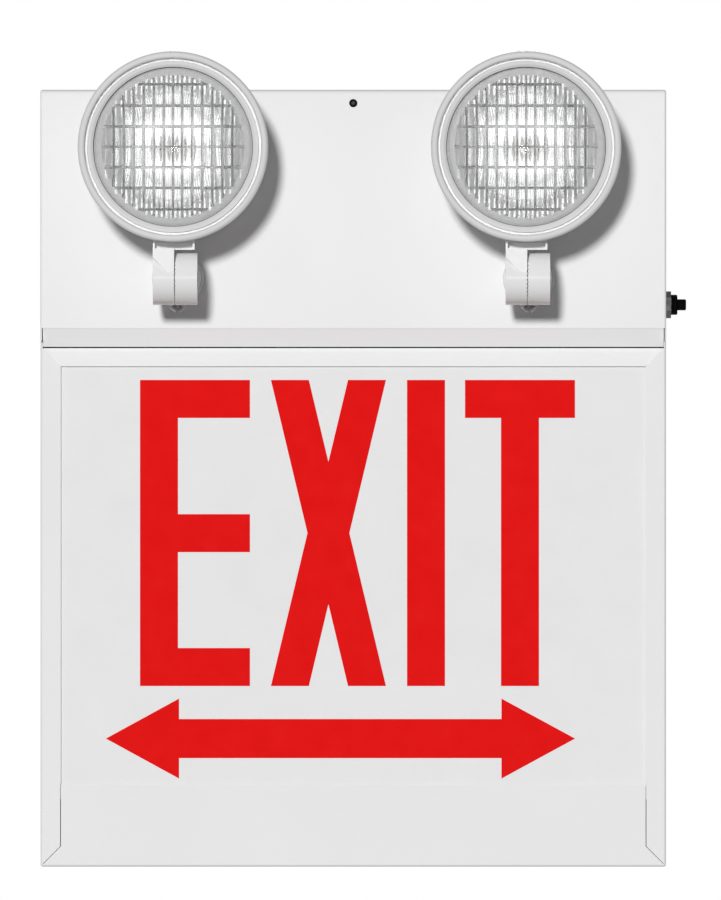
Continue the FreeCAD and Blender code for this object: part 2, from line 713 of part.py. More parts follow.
    lock = body(side + "_lock_body")
    outline = sketch(lock, side + "_lock_half", "YZ_Plane", [[
        ("0", "-(hub_radius + 7)", "6.0"),
        ("2.2 * lock_screw", "-(hub_radius + 3.4)"),
        ("1.64 * lock_screw", "-(hub_radius + 3.4)"),
        ("1.64 * lock_screw", "-(hub_radius + 2.6)"),
        ("lock_screw", "-(hub_radius + 2.6)"),
        ("lock_screw", "-(spigot_radius + 0.3)"),
        ("0", "-(spigot_radius + 0.3)"),
    ]], right="pivot_reach - 15")
    revolve(lock, outline)
    outline = sketch(lock, side + "_lock_slot", "XZ_Plane", [[
        ("-0.6", "-(hub_radius + 9)"),
        ("0.6", "-(hub_radius + 9)"),
        ("0.6", "-(hub_radius + 5.4)"),
        ("-0.6", "-(hub_radius + 5.4)"),
    ]], offset="-(pivot_reach - 15)")
    pocket(lock, outline, "5 * lock_screw", both=True)
    node(lock, side + "_lock_screw", **at)

    # head body: bowl, rim seat, neck and the hinge's other half, moulded in one
    head = body(side + "_head_body")
    outline = lamp_sketch(head, side + "_bowl_outside", [
        ("0", RIM_BACK + " - 1.8"),
        ("ring_radius - 1.4", RIM_BACK + " - 1.8"),
        ("ring_radius - 1.4", RIM_BACK + " + 3.4"),
        ("shell_radius", RIM_BACK + " + 3.4"),
        ("shell_radius", "shell_back - 2 - shell_curve + 0.1", "shell_curve"),
        ("shell_radius - shell_curve - 0.1", "shell_back - 2"),
        ("shell_radius - shell_curve - 6", "shell_back"),
        ("0", "shell_back"),
    ])
    revolve(head, outline)
    outline = sketch(head, side + "_neck", "XZ_Plane", [[
        ("-knuckle_left", "knuckle_radius + 0.7"),
        ("neck_right", "knuckle_radius + 0.7"),
        ("neck_right", "head_rise - shell_radius + 9"),
        ("-knuckle_left", "head_rise - shell_radius + 9"),
    ]], offset="9")
    pad(head, outline, "19", back=True)
    outline = sketch(head, side + "_arm", "XZ_Plane", [[
        ("-knuckle_left / 2.6", "knuckle_radius / 5.4"),
        ("-tooth_seam - 0.26", "knuckle_radius / 5.4"),
        ("-tooth_seam - 0.26", "knuckle_radius + 1.6"),
        ("-knuckle_left", "knuckle_radius + 1.6"),
        ("-knuckle_left", "0.75 * knuckle_radius"),
    ]], offset="knuckle_radius")
    pad(head, outline, "knuckle_radius + 10", back=True)
    outline = sketch(head, side + "_disc", "YZ_Plane", circles=[("0", "0", "knuckle_radius")],
                     offset="-knuckle_left")
    pad(head, outline, "knuckle_left + %s" % SEAM_HEAD)
    outline = lamp_sketch(head, side + "_bowl_inside", [
        ("0", RIM_BACK + " - 3"),
        ("lamp_radius + 0.3", RIM_BACK + " - 3"),
        ("lamp_radius + 0.3", LAMP_FRONT + " + 4.6"),
        ("lamp_radius - 2.5", LAMP_FRONT + " + 4.6"),
        ("lamp_radius - 2.5", LAMP_FRONT + " + 7.4"),
        ("shell_radius - shell_wall", LAMP_FRONT + " + 7.4"),
        ("shell_radius - shell_wall", "shell_back - 2 - shell_curve + 0.1", "shell_curve - shell_wall"),
        ("shell_radius - shell_curve - 0.1", "shell_back - 2 - shell_wall"),
        ("0", "shell_back - 2 - shell_wall"),
    ])
    revolve(head, outline, "PartDesign::Groove")
    outline = sketch(head, side + "_neck_window", "XZ_Plane", [[
        ("neck_wall - knuckle_left", "knuckle_radius + 1.6"),
        ("neck_right - neck_wall", "knuckle_radius + 1.6"),
        ("neck_right - neck_wall", "head_rise - shell_radius - 0.6"),
        ("neck_wall - knuckle_left", "head_rise - shell_radius - 0.6"),
    ]], offset="knuckle_radius + 2")
    pocket(head, outline, "knuckle_radius + 2 - 1")
    outline = sketch(head, side + "_head_screw_hole", "YZ_Plane",
                     circles=[("0", "0", "pivot_screw + run_gap / 4")], offset="-knuckle_left - 1")
    pocket(head, outline, "knuckle_left + 2", back=True)
    outline = sketch(head, side + "_head_nut_pocket", "YZ_Plane",
                     circles=[("0", "0", "2 * pivot_screw + 0.4")], offset="-knuckle_left")
    pocket(head, outline, "4", back=True)
    # the seam's grooves, half a pitch round from the knuckle's
    outline = head.newObject("Sketcher::SketchObject", side + "_head_tooth")
    outline.AttachmentSupport = [(plane_of(head, "XZ_Plane"), "")]
    outline.MapMode = "FlatFace"
    turn = FreeCAD.Rotation(FreeCAD.Vector(1, 0, 0), 4.5)
    outline.AttachmentOffset = FreeCAD.Placement(turn.multVec(FreeCAD.Vector(0, 0, measure("knuckle_radius + 1"))), turn)
    tie(outline, "AttachmentOffset.Base.y", "-(knuckle_radius + 1) * sin(4.5)")
    tie(outline, "AttachmentOffset.Base.z", "(knuckle_radius + 1) * cos(4.5)")
    add_loop(outline, [
        (SEAM_HEAD, "tooth_width / 2"),
        (SEAM_HEAD + " - tooth_depth", "0"),
        (SEAM_HEAD, "-tooth_width / 2"),
    ])
    groove = pocket(head, outline, "knuckle_radius + 1 - tooth_inner")
    around(head, groove, "X_Axis", 40)
    node(head, side + "_head_body", **at)

    # pivot screw through both halves, its head and nut sunk in their pockets
    screw = rod(side + "_pivot_shank", "x", "pivot_screw", "knuckle_left + knuckle_right - 4.5",
                ("1 - knuckle_left", "0", "0"))
    cap = rod(side + "_pivot_cap", "x", "2 * pivot_screw - 0.4", "3", ("knuckle_right - 4.3", "0", "0"))
    node(fuse(side + "_pivot_screw_whole", [screw, cap]), side + "_pivot_screw", **at)
    hexes = hexagon(side + "_pivot_hex", "x", "3.3 * pivot_screw", "2.6", ("1.4 - knuckle_left", "0", "0"))
    bore = rod(side + "_pivot_nut_bore", "x", "pivot_screw + run_gap / 4", "8", ("-knuckle_left", "0", "0"))
    node(cut(side + "_pivot_nut_whole", hexes, bore), side + "_pivot_nut", **at)

    # front ring: rounded bead outside, dark groove, flat inner band, skirt over the bowl's rim
    ring = body(side + "_ring_body")
    outline = lamp_sketch(ring, side + "_ring_section", [
        ("lens_opening", LAMP_FRONT + " - 2.6"),
        ("lens_opening + 1.6", LAMP_FRONT + " - 3.6"),
        ("lens_opening + 3.7", LAMP_FRONT + " - 3.9"),
        ("lens_opening + 4", LAMP_FRONT + " - 2"),
        ("ring_radius - 4.2", LAMP_FRONT + " - 2"),
        ("ring_radius - 4.2", "3.2 - ring_front", "2.11"),
        ("ring_radius - 2.4", "-ring_front", "2.6"),
        ("ring_radius", "3.6 - ring_front"),
        ("ring_radius", RIM_BACK + " + 3"),
        ("ring_radius - 1.3", RIM_BACK + " + 3"),
        ("ring_radius - 1.3", RIM_BACK + " - 2"),
        ("lens_opening", RIM_BACK + " - 2"),
    ])
    revolve(ring, outline)
    outline = sketch(ring, side + "_ring_tab", "XZ_Plane", [[
        ("-head_shift - 6.5", "head_rise + ring_radius - 1"),
        ("-head_shift + 6.5", "head_rise + ring_radius - 1"),
        ("-head_shift + 6.5", "head_rise + ring_radius + 0.7"),
        ("-head_shift - 6.5", "head_rise + ring_radius + 0.7"),
    ]], offset="ring_front - 4")
    pad(ring, outline, "7", back=True)
    node(ring, side + "_front_ring", **at)

    # sealed lamp: fluted front glass, mirrored bowl, capsule, screw terminals
    LENS_BALL = "((lens_opening ^ 2 + lens_sag ^ 2) / (2 * lens_sag))"
    lens = body(side + "_lens_blank")
    outline = lamp_sketch(lens, side + "_lens_section", [
        ("0", LAMP_FRONT + " - lens_sag + lens_thick"),
        ("0", LAMP_FRONT + " - lens_sag", LENS_BALL),
        ("lens_opening - 0.4", LAMP_FRONT + " + 0.1"),
        ("lamp_radius", LAMP_FRONT + " + 0.1"),
        ("lamp_radius", LAMP_FRONT + " + 2"),
        ("lens_opening - 2", LAMP_FRONT + " + 2",
         "-(((lens_opening - 2) ^ 2 + (lens_sag + 2 - lens_thick) ^ 2) / (2 * (lens_sag + 2 - lens_thick)))"),
    ])
    revolve(lens, outline)
    ball_radius = "(((lens_opening - 2) ^ 2 + (lens_sag + 2 - lens_thick) ^ 2) / (2 * (lens_sag + 2 - lens_thick)))"
    ball = document.addObject("Part::Sphere", side + "_flute_ball")
    tie(ball, "Radius", ball_radius + " + flute_depth")
    place(ball, "-head_shift", LAMP_FRONT + " - lens_sag + lens_thick + " + ball_radius, "head_rise")
    slabs = []
    for number in range(-6, 7):
        x = "-head_shift + (%d) * flute_pitch - flute_width / 2" % number
        tall = "sqrt((0.86 * lens_opening) ^ 2 - (%d * flute_pitch) ^ 2)" % abs(number)
        slabs.append(block("%s_flute_%d" % (side, number + 6), ("flute_width", "30", "2 * %s" % tall),
                           (x, LAMP_FRONT + " - lens_sag - 5", "head_rise - %s" % tall)))
    for number in (-3, -2, -1, 1, 2, 3):
        half = "sqrt((0.86 * lens_opening) ^ 2 - (%d * flute_row) ^ 2)" % abs(number)
        slabs.append(block("%s_flute_row_%d" % (side, number + 3), ("2 * %s" % half, "30", "flute_width"),
                           ("-head_shift - %s" % half, LAMP_FRONT + " - lens_sag - 5",
                            "head_rise + (%d) * flute_row - flute_width / 2" % number)))
    grid = fuse(side + "_flute_grid", slabs)
    tool = document.addObject("Part::Common", side + "_flute_tool")
    tool.Base = grid
    tool.Tool = ball
    node(cut(side + "_lens_whole", lens, tool), side + "_lamp_lens", **at)

    bowl = body(side + "_reflector_body")
    outline = lamp_sketch(bowl, side + "_reflector_section", [
        ("lamp_radius - 4", LAMP_FRONT + " + 2.1"),
        ("lamp_radius", LAMP_FRONT + " + 2.1"),
        ("lamp_radius", LAMP_FRONT + " + 4.4"),
        ("lamp_radius - 3", LAMP_FRONT + " + 4.4", "lamp_radius"),
        ("17", "shell_back - 19"),
        ("5", "shell_back - 17"),
        ("5", "shell_back - 20"),
        ("15", "shell_back - 21", "-(lamp_radius - 1)"),
    ])
    revolve(bowl, outline)
    node(bowl, side + "_lamp_reflector", **at)

    bulb = body(side + "_bulb_body")
    outline = lamp_sketch(bulb, side + "_bulb_section", [
        ("0", "shell_back - 42", "4.6"),
        ("4.6", "shell_back - 37.4"),
        ("4.6", "shell_back - 22"),
        ("3.4", "shell_back - 18.6"),
        ("3.4", "shell_back - 17"),
        ("0", "shell_back - 17"),
    ])
    revolve(bulb, outline)
    node(bulb, side + "_lamp_bulb", **at)

    tags = []
    for sign in ("-", "+"):
        x = "-head_shift %s 6" % sign
        stud = rod("%s_terminal_stud_%s" % (side, "ab"[sign == "+"]), "y", "2", "5",
                   (x, "shell_back - 17", "head_rise"))
        cap = rod("%s_terminal_cap_%s" % (side, "ab"[sign == "+"]), "y", "3.6", "2.2",
                  (x, "shell_back - 12", "head_rise"))
        tags.append(fuse("%s_terminal_%s" % (side, "ab"[sign == "+"]), [stud, cap]))
    base = rod(side + "_terminal_base", "y", "15", "3", ("-head_shift", "shell_back - 17", "head_rise"))
    node(fuse(side + "_terminals_whole", tags + [base]), side + "_lamp_terminals", **at)


lamp_unit("left", "-")
lamp_unit("right", "")

# ---------------------------------------------------------------- test switch on the right side wall

WALL_X = "(unit_width / 2)"
switch_at = {"x": "0", "y": "-switch_reach", "z": "switch_height"}
case = block("switch_case_box", ("22", "16", "16"), (WALL_X + " - sheet - 22.3", "-8", "-8"))
bush = rod("switch_bush_rod", "x", "switch_bush", "sheet + switch_nut + 2.3 + switch_collar - 2", (WALL_X + " - sheet - 2.3", "0", "0"))
solid = fuse("switch_body_blank", [case, bush])
bore = rod("switch_body_bore", "x", "button_radius + run_gap", "40", (WALL_X + " - 9", "0", "0"))
node(cut("switch_body_whole", solid, bore), "switch_body", **switch_at)
nut = hexagon("switch_nut_hex", "x", "15.5", "switch_nut", (WALL_X, "0", "0"), turn=0)
bore = rod("switch_nut_bore", "x", "switch_bush + run_gap / 4", "20", (WALL_X + " - 5", "0", "0"))
node(cut("switch_nut_whole", nut, bore), "switch_nut", **switch_at)
collar = body("switch_collar_body")
outline = sketch(collar, "collar_section", "XY_Plane", [[
    ("switch_bush + run_gap / 4", "0"),
    ("6.7", "0"),
    ("6.7", "switch_collar - 0.8", "0.9"),
    ("5.9", "switch_collar"),
    ("button_radius + 0.3", "switch_collar"),
    ("button_radius + 0.3", "switch_collar - 0.9"),
    ("switch_bush + run_gap / 4", "switch_collar - 0.9"),
]])
revolve(collar, outline)
collar.Placement = FreeCAD.Placement(FreeCAD.Vector(), FreeCAD.Rotation(FreeCAD.Vector(0, 0, 1), -90))
node(collar, "switch_collar", x=WALL_X + " + switch_nut", y="-switch_reach", z="switch_height")
button = body("button_body")
outline = sketch(button, "button_section", "XY_Plane", [[
    ("0", "-switch_nut - 5"),
    ("button_radius", "-switch_nut - 5"),
    ("button_radius", "switch_collar + button_proud - 0.9", "1"),
    ("button_radius - 0.9", "switch_collar + button_proud"),
    ("0", "switch_collar + button_proud"),
]])
revolve(button, outline)
button.Placement = FreeCAD.Placement(FreeCAD.Vector(), FreeCAD.Rotation(FreeCAD.Vector(0, 0, 1), -90))
node(button, "test_button", x=WALL_X + " + switch_nut", y="-switch_reach", z="switch_height")

# ---------------------------------------------------------------- pilot light in the cover's face

holder = body("pilot_holder_body")
outline = sketch(holder, "holder_section", "XY_Plane", [[
    ("1.55", "-0.5"),
    ("pilot_hole / 2 + 0.5", "-0.5"),
    ("pilot_hole / 2 + 0.5", "0"),
    ("pilot_hole / 2 - 0.05", "0"),
    ("pilot_hole / 2 - 0.05", "6"),
    ("1.55", "6"),
]])
revolve(holder, outline)
node(holder, "pilot_holder", y="-cover_depth", z="pilot_height")
pilot = body("pilot_lens_body")
outline = sketch(pilot, "pilot_section", "XY_Plane", [[
    ("0", "-1.4", "1.6"),
    ("1.5", "0.1"),
    ("1.5", "6.5"),
    ("0", "6.5"),
]])
revolve(pilot, outline)
node(pilot, "pilot_lens", y="-cover_depth", z="pilot_height")

# ---------------------------------------------------------------- battery and circuit parts

BATTERY_FOOT = "(shelf_height + sheet)"
BATTERY_LEFT = "(unit_width / 2 - sheet - battery_side_gap)"
battery_case = block("battery_case_box", ("battery_length", "battery_width", "battery_height"),
                     ("-" + BATTERY_LEFT, "-(2 * sheet + battery_width)", BATTERY_FOOT))
soft_case = document.addObject("Part::Fillet", "battery_case_rounded")
soft_case.Base = battery_case
document.recompute()
soft_case.Edges = [(number, 3.0, 3.0) for number, edge in enumerate(battery_case.Shape.Edges, start=1)
                   if near(edge.Length, SIZES["battery_height"])]
tabs = []
for way, x in (("a", "8"), ("b", "battery_length - 14")):
    tabs.append(block("battery_tab_" + way, ("6.3", "0.8", "7"),
                      ("%s - %s" % (x, BATTERY_LEFT), "-(2 * sheet + 12)", BATTERY_FOOT + " + battery_height - 0.5")))
node(fuse("battery_whole", [soft_case] + tabs), "battery")

strap = body("battery_strap_body")
STRAP_LEFT = "(%s + fit_gap)" % BATTERY_LEFT
STRAP_RIGHT = "(%s - battery_length - fit_gap)" % BATTERY_LEFT
STRAP_FRONT = "(2 * sheet + battery_width + fit_gap)"
outline = sketch(strap, "strap_section", "XY_Plane", [[
    ("10 - %s" % STRAP_RIGHT, "-sheet"),
    ("10 - %s" % STRAP_RIGHT, "-2 * sheet"),
    ("sheet - %s" % STRAP_RIGHT, "-2 * sheet"),
    ("sheet - %s" % STRAP_RIGHT, "-(%s + sheet)" % STRAP_FRONT),
    ("-(%s + sheet)" % STRAP_LEFT, "-(%s + sheet)" % STRAP_FRONT),
    ("-(%s + sheet)" % STRAP_LEFT, "-(plate_lip + fit_gap)"),
    ("-" + STRAP_LEFT, "-(plate_lip + fit_gap)"),
    ("-" + STRAP_LEFT, "-" + STRAP_FRONT),
    ("-" + STRAP_RIGHT, "-" + STRAP_FRONT),
    ("-" + STRAP_RIGHT, "-sheet"),
]], offset=BATTERY_FOOT + " + battery_height / 2")
pad(strap, outline, "18", both=True)
node(strap, "battery_strap")

BOARD_LEFT = "(unit_width / 2 - 24 - board_length)"
BOARD_FOOT = "(unit_height - 24 - board_height)"
BOARD_FRONT = "(-(sheet + board_standoff + board_thick))"
board = block("charger_board_box", ("board_length", "board_thick", "board_height"),
              (BOARD_LEFT, BOARD_FRONT, BOARD_FOOT))
posts = []
pins = []
holes = []
for x_name, x in (("left", "5"), ("right", "board_length - 5")):
    for z_name, z in (("low", "5"), ("high", "board_height - 5")):
        spot = ("%s + %s" % (BOARD_LEFT, x), "%s + %s" % (BOARD_FOOT, z))
        tag = "%s_%s" % (x_name, z_name)
        posts.append(rod("post_" + tag, "y", "3", "board_standoff", (spot[0], "-(sheet + board_standoff)", spot[1])))
        holes.append(rod("board_hole_" + tag, "y", "1.7", "10", (spot[0], BOARD_FRONT + " - 4", spot[1])))
        shank = rod("board_screw_shank_" + tag, "y", "1.5", "board_thick + 0.1",
                    (spot[0], BOARD_FRONT + " - 0.1", spot[1]))
        cap = rod("board_screw_cap_" + tag, "y", "2.8", "1.8", (spot[0], BOARD_FRONT + " - 1.8", spot[1]))
        pins.append(fuse("board_screw_" + tag, [shank, cap]))
node(cut("charger_board_whole", board, fuse("board_holes", holes)), "charger_board")
node(group("posts_group", posts), "board_posts")
node(group("board_screws_group", pins), "board_screws")
node(block("relay_box", ("19", "15", "15.5"), ("0", "0", "0")), "transfer_relay",
     x=BOARD_LEFT + " + 16", y=BOARD_FRONT + " - 15", z=BOARD_FOOT + " + 34")
cans = [rod("capacitor_" + tag, "y", "6.3", "20", (BOARD_LEFT + " + " + x, BOARD_FRONT + " - 20", BOARD_FOOT + " + 20"))
        for tag, x in (("a", "26"), ("b", "44"))]
node(group("capacitors_group", cans), "filter_capacitors")
node(block("terminal_box", ("30", "12", "10"), ("0", "0", "0")), "supply_terminals",
     x=BOARD_LEFT + " + 66", y=BOARD_FRONT + " - 12", z=BOARD_FOOT + " + 48")

# transformer: laminated core on a bracket, with its winding through the middle
CORE_LEFT = "(unit_width / 2 - 100)"
core = block("core_box", ("57", "19", "48"), (CORE_LEFT, "-(sheet + 32)", BATTERY_FOOT + " + 1"))
window_a = block("core_window_a", ("9.5", "40", "29"), (CORE_LEFT + " + 9.5", "-(sheet + 42)", BATTERY_FOOT + " + 10.5"))
window_b = block("core_window_b", ("9.5", "40", "29"), (CORE_LEFT + " + 38", "-(sheet + 42)", BATTERY_FOOT + " + 10.5"))
tray = block("core_tray", ("75", "34", "1"), (CORE_LEFT + " - 9", "-(sheet + 34)", BATTERY_FOOT))
node(fuse("transformer_core_whole", [cut("core_cut", core, fuse("core_windows", [window_a, window_b])), tray]),
     "transformer_core")
coil = block("coil_box", ("36", "30", "28"), (CORE_LEFT + " + 10.5", "-(sheet + 37.5)", BATTERY_FOOT + " + 11"))
slot = block("coil_limb_slot", ("19.2", "19.2", "40"), (CORE_LEFT + " + 18.9", "-(sheet + 32.1)", BATTERY_FOOT + " + 5"))
node(cut("coil_whole", coil, slot), "transformer_winding")

# ---------------------------------------------------------------- check and write

document.recompute()
for item in document.Objects:
    if "Invalid" in item.State or "Error" in item.State:
        raise RuntimeError("%s failed to build: %s" % (item.Label, item.State))
for name, item in parts.items():
    if item.Shape.isNull() or not item.Shape.isValid() or not item.Shape.Solids:
        raise RuntimeError("%s has no valid solid" % name)

os.makedirs("parts", exist_ok=True)
for name, item in parts.items():
    item.Shape.exportStep("parts/%s.step" % name)
print("wrote %d sub-parts" % len(parts))
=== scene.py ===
# Emergency exit light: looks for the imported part.
# Axes in metres: X to the viewer's right, Y into the wall, Z up.
import json
import math

import bpy
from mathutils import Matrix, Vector


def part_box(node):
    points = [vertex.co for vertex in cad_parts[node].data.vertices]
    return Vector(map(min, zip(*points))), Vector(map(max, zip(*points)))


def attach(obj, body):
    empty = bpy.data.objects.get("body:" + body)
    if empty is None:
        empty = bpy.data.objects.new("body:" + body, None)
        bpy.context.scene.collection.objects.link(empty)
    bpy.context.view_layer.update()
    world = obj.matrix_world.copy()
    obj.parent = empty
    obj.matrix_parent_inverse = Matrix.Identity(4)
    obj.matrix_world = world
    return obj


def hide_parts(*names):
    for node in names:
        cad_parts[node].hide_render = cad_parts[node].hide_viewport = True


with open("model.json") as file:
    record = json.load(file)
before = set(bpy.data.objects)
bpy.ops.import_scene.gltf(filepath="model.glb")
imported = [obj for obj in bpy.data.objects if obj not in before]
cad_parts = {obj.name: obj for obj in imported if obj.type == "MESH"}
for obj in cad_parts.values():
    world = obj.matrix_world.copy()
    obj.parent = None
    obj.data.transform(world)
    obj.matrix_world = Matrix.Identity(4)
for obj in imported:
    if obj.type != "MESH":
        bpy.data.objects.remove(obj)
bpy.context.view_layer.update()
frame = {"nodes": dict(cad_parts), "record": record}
nodes = frame["nodes"]
scene = bpy.context.scene
print("frame loaded:", len(nodes), "nodes")

frameLow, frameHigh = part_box("sign_frame")
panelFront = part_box("sign_panel")[0].y
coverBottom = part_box("battery_cover")[0].z
unitBottom = frameLow.z
unitCentre = (frameLow.x + frameHigh.x) / 2
quarterTurn = math.radians(90)
mergeGap = 1e-6   # points nearer than this are one


# small helpers for selecting, shaping and finishing

def deselectAll():
    if bpy.context.mode != "OBJECT":
        bpy.ops.object.mode_set(mode="OBJECT")
    bpy.ops.object.select_all(action="DESELECT")


def pick(piece):
    deselectAll()
    piece.select_set(True)
    bpy.context.view_layer.objects.active = piece
    return piece


def editAll(piece):
    # opens the piece in edit mode with everything selected
    pick(piece)
    bpy.ops.object.mode_set(mode="EDIT")
    bpy.ops.mesh.select_mode(type="FACE")
    bpy.ops.mesh.select_all(action="SELECT")


def editFaces(piece, test):
    # opens the piece in edit mode with only the faces that pass selected
    editAll(piece)
    bpy.ops.mesh.select_all(action="DESELECT")
    bpy.ops.object.mode_set(mode="OBJECT")
    for face in piece.data.polygons:
        face.select = bool(test(face.center, face.normal))
    bpy.ops.object.mode_set(mode="EDIT")


def leaveEdit():
    bpy.ops.object.mode_set(mode="OBJECT")


def extrude(across=0.0, out=0.0, up=0.0):
    bpy.ops.mesh.extrude_region_move(TRANSFORM_OT_translate={"value": (across, out, up)})


def splitAt(piece, point, normal, clearOuter=False):
    # cuts the mesh along one plane in the piece's own frame, and may leave it open there
    editAll(piece)
    place = piece.matrix_world @ Vector(point)
    bpy.ops.mesh.bisect(plane_co=place, plane_no=Vector(normal), clear_outer=clearOuter)
    leaveEdit()


def applyAll(piece):
    pick(piece)
    for modifier in list(piece.modifiers):
        bpy.ops.object.modifier_apply(modifier=modifier.name)


def outwards(piece):
    editAll(piece)
    bpy.ops.mesh.remove_doubles(threshold=mergeGap)
    bpy.ops.mesh.normals_make_consistent(inside=False)
    leaveEdit()


def settle(piece, name, body, angle):
    # the finished piece: its place in its mesh, soft shading up to an angle, its body
    pick(piece)
    bpy.ops.object.transform_apply(location=True, rotation=True, scale=True)
    bpy.ops.object.shade_smooth_by_angle(angle=math.radians(angle))
    piece.name = name
    piece.data.name = name
    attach(piece, body)


# node helpers for the finishes

mixSocket = {"factor": 0, "first": 6, "second": 7, "result": 2}   # a Mix node's colour sockets
shaderSocket = {"metal": "Metallic", "ior": "IOR", "specular": "Specular IOR Level",
                "glare": "Specular Tint", "coat": "Coat Weight", "coatRough": "Coat Roughness",
                "glass": "Transmission Weight"}


def grey(level):
    return (level, level, level)


class Finish:
    # one procedural material with a Principled shader and its own pattern nodes
    def __init__(self, name):
        self.material = bpy.data.materials.new(name)
        self.material.use_nodes = True
        self.tree = self.material.node_tree
        self.shader = self.tree.nodes["Principled BSDF"]
        self.place = self.add("ShaderNodeTexCoord")

    def add(self, kind, **settings):
        made = self.tree.nodes.new(kind)
        for key, value in settings.items():
            setattr(made, key, value)
        return made

    def link(self, start, end):
        self.tree.links.new(start, end)

    def setOn(self, **values):
        for key, value in values.items():
            self.shader.inputs[shaderSocket[key]].default_value = value

    def coords(self, stretch=(1, 1, 1), turn=(0, 0, 0)):
        mapping = self.add("ShaderNodeMapping")
        mapping.inputs["Scale"].default_value = stretch
        mapping.inputs["Rotation"].default_value = turn
        self.link(self.place.outputs["Object"], mapping.inputs["Vector"])
        return mapping.outputs["Vector"]

    def noise(self, size, detail=3.0, stretch=(1, 1, 1), roughness=0.5):
        # size is the width of one blotch in metres
        texture = self.add("ShaderNodeTexNoise")
        texture.inputs["Scale"].default_value = 1.0 / size
        texture.inputs["Detail"].default_value = detail
        texture.inputs["Roughness"].default_value = roughness
        self.link(self.coords(stretch), texture.inputs["Vector"])
        return texture.outputs["Fac"]

    def bands(self, direction, scale, distortion=0.0):
        waves = self.add("ShaderNodeTexWave", wave_type="BANDS", bands_direction=direction)
        waves.inputs["Scale"].default_value = scale
        waves.inputs["Distortion"].default_value = distortion
        self.link(self.coords(), waves.inputs["Vector"])
        return waves.outputs["Fac"]

    def span(self, value, low, high, fromLow=0.3, fromHigh=0.7):
        # turns a 0 to 1 pattern into numbers from low to high
        ranged = self.add("ShaderNodeMapRange")
        ranged.inputs["From Min"].default_value = fromLow
        ranged.inputs["From Max"].default_value = fromHigh
        ranged.inputs["To Min"].default_value = low
        ranged.inputs["To Max"].default_value = high
        self.link(value, ranged.inputs["Value"])
        return ranged.outputs["Result"]

    def colored(self, value, first, second):
        # first where the pattern is low; a colour or another node's output
        mix = self.add("ShaderNodeMix", data_type="RGBA")
        self.link(value, mix.inputs[mixSocket["factor"]])
        for socket, color in (("first", first), ("second", second)):
            if isinstance(color, tuple):
                mix.inputs[mixSocket[socket]].default_value = (*color, 1)
            else:
                self.link(color, mix.inputs[mixSocket[socket]])
        self.link(mix.outputs[mixSocket["result"]], self.shader.inputs["Base Color"])
        return mix.outputs[mixSocket["result"]]

    def mottled(self, pattern, first, second):
        return self.colored(self.span(pattern, 0, 1), first, second)

    def roughened(self, pattern, low, high):
        self.link(self.span(pattern, low, high), self.shader.inputs["Roughness"])

    def bumped(self, pattern, depth, strength=1.0):
        bump = self.add("ShaderNodeBump")
        bump.inputs["Distance"].default_value = depth
        bump.inputs["Strength"].default_value = strength
        self.link(pattern, bump.inputs["Height"])
        self.link(bump.outputs["Normal"], self.shader.inputs["Normal"])


# the finishes: sizes of a pattern are in metres, rough is the range of roughness

# the three strip numbers at the end: height, fade and white of a strip of painted light on the
# cover's lip
powder = {"drift": 0.09, "peel": 0.0016, "detail": 2, "rough": (0.30, 0.40), "deep": 0.00002,
          "strength": 0.5, "paintedLightHeight": 0.0120, "paintedLightFade": 0.0003, "paintedLightWhite": grey(0.97)}


def powderCoat(name, bright, dull, edge=None):
    # oven-cured white powder: fine orange peel, a trace of tone drift, satin gloss,
    # and under an edge a whiter strip: painted light that brightens the folded lip facing down
    finish = Finish(name)
    peel = finish.noise(powder["peel"], powder["detail"])
    finish.setOn(ior=1.5, coat=0.06, coatRough=0.25, specular=0.4)
    paint = finish.mottled(finish.noise(powder["drift"], powder["detail"]), bright, dull)
    if edge is not None:
        axes = finish.add("ShaderNodeSeparateXYZ")
        finish.link(finish.place.outputs["Object"], axes.inputs[0])
        # painted light: under the edge the paint turns whiter, standing in for light on the lip
        # that faces down
        below = finish.span(axes.outputs["Z"], 1, 0, edge - powder["paintedLightFade"], edge)
        finish.colored(below, paint, powder["paintedLightWhite"])
    finish.roughened(peel, *powder["rough"])
    finish.bumped(peel, powder["deep"], powder["strength"])
    return finish.material


plastic = {"drift": 0.03, "cloud": 4, "rough": (0.26, 0.36), "grain": 0.0006, "deep": 0.000006,
           "strength": 0.6}


def moldedPlastic(name, bright, dull, rough=plastic["rough"], grain=plastic["grain"],
                  deep=plastic["deep"], specular=0.5):
    # a fine mould grain, with gloss that varies over a few grains
    finish = Finish(name)
    finish.setOn(ior=1.49, specular=specular)
    finish.mottled(finish.noise(plastic["drift"]), bright, dull)
    finish.roughened(finish.noise(grain * plastic["cloud"], plastic["cloud"]), *rough)
    finish.bumped(finish.noise(grain), deep, plastic["strength"])
    return finish.material


plate = {"cloud": 0.004, "detail": 5, "contrast": 0.65, "rough": (0.22, 0.42), "lines": 0.0007,
         "deep": 0.000008, "strength": 0.5}


def platedSteel(name, bright, dull, rough=plate["rough"], stretch=(1, 1, 1)):
    # zinc or nickel plate: cloudy passivation and faint drawing lines
    finish = Finish(name)
    cloud = finish.noise(plate["cloud"], plate["detail"], stretch, plate["contrast"])
    finish.setOn(metal=1.0)
    finish.mottled(cloud, bright, dull)
    finish.roughened(cloud, *rough)
    finish.bumped(finish.noise(plate["lines"], 4, stretch), plate["deep"], plate["strength"])
    return finish.material


pressed = {"ripple": 0.006, "fade": 0.985, "roughStep": 0.02, "deep": 0.00001, "strength": 0.4}


def clearGlass(name, rough=0.0, tint=grey(1.0), clear=1.0):
    # pressed glass with a slight ripple; clear below 1 makes it milky
    finish = Finish(name)
    ripple = finish.noise(pressed["ripple"], 2)
    finish.setOn(glass=clear, ior=1.5, glare=(0.1, 0.1, 0.1, 1))
    finish.mottled(ripple, tint, tuple(pressed["fade"] * part for part in tint))
    finish.roughened(ripple, rough, rough + pressed["roughStep"])
    finish.bumped(ripple, pressed["deep"], pressed["strength"])
    return finish.material


